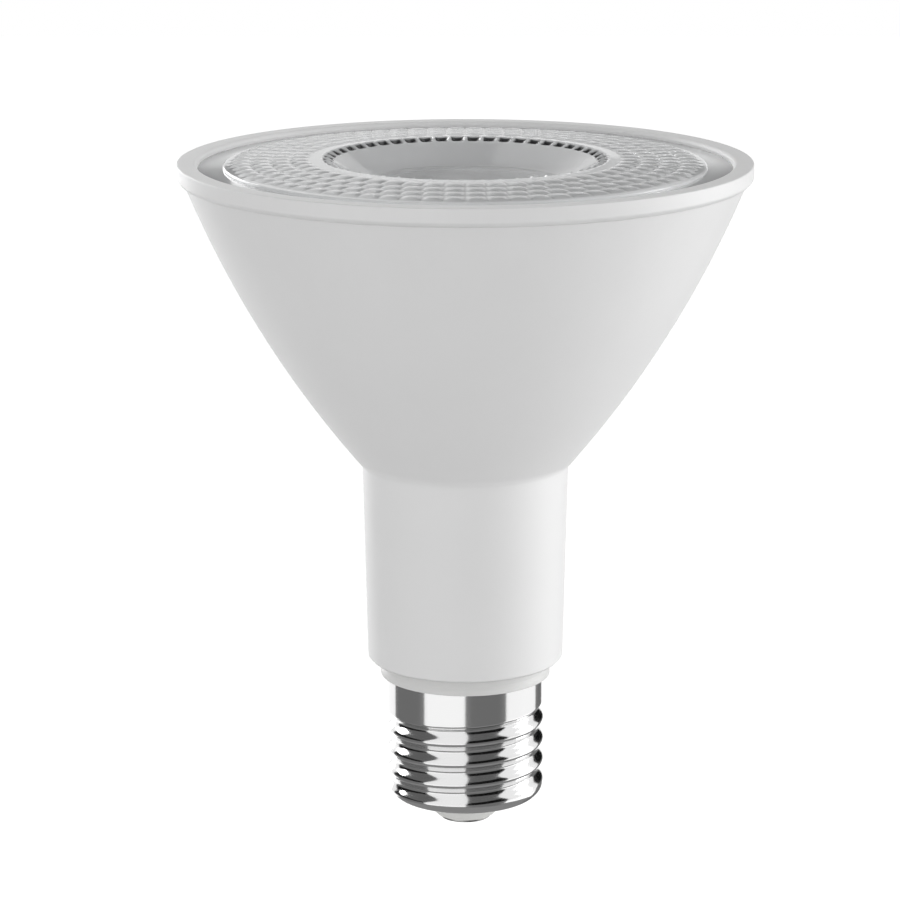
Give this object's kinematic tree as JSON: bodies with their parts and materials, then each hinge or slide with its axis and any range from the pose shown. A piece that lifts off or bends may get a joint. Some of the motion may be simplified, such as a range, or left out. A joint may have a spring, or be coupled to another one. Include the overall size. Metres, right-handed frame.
{
  "type": "par spotlight bulb",
  "caption": "Flared white spotlight bulb with a bumped clear lens and central well, a long tapering neck and a bright screw base with a flat centre contact.",
  "frame": {"origin": "on the lamp's axis, at the underside of the centre contact", "axes": "+Z along the lamp's axis from the screw base to the lens; X and Y across it, with the driver board in the XZ plane"},
  "size_m": [0.094, 0.094, 0.113],
  "materials": {
    "white_plastic": "satin white moulding",
    "clear_lens": "clear moulded optical plastic",
    "nickel_plate": "bright nickel-plated rolled sheet",
    "pale_insulator": "pale moulded insulator",
    "contact_metal": "plated contact",
    "aluminium_plate": "plain stamped sheet",
    "white_board": "white solder mask on metal",
    "phosphor": "silicone with phosphor",
    "screw_steel": "plated screw",
    "green_laminate": "solder mask on laminate",
    "ferrite": "dull ferrite",
    "black_sleeve": "shrunk sleeve",
    "film_box": "moulded box",
    "black_epoxy": "moulded package",
    "blue_coating": "dipped coating",
    "resistor_body": "coated resistor body",
    "wire_sleeve": "insulated wire"
  },
  "bodies": {
    "root": {"front_bezel": "white_plastic", "lens": "clear_lens", "cone_housing": "white_plastic", "driver_cup": "white_plastic", "screw_shell": "nickel_plate", "base_insulator": "pale_insulator", "centre_contact": "contact_metal", "heat_spreader": "aluminium_plate", "led_board": "white_board", "led_emitter": "phosphor", "board_screws": "screw_steel", "driver_board": "green_laminate", "transformer": "ferrite", "electrolytic_capacitor": "black_sleeve", "film_capacitor": "film_box", "inductor": "ferrite", "bridge_rectifier": "black_epoxy", "driver_chip": "black_epoxy", "varistor": "blue_coating", "fuse_resistor": "resistor_body", "led_leads": "wire_sleeve", "live_lead": "wire_sleeve", "neutral_lead": "wire_sleeve"}
  },
  "joints": []
}
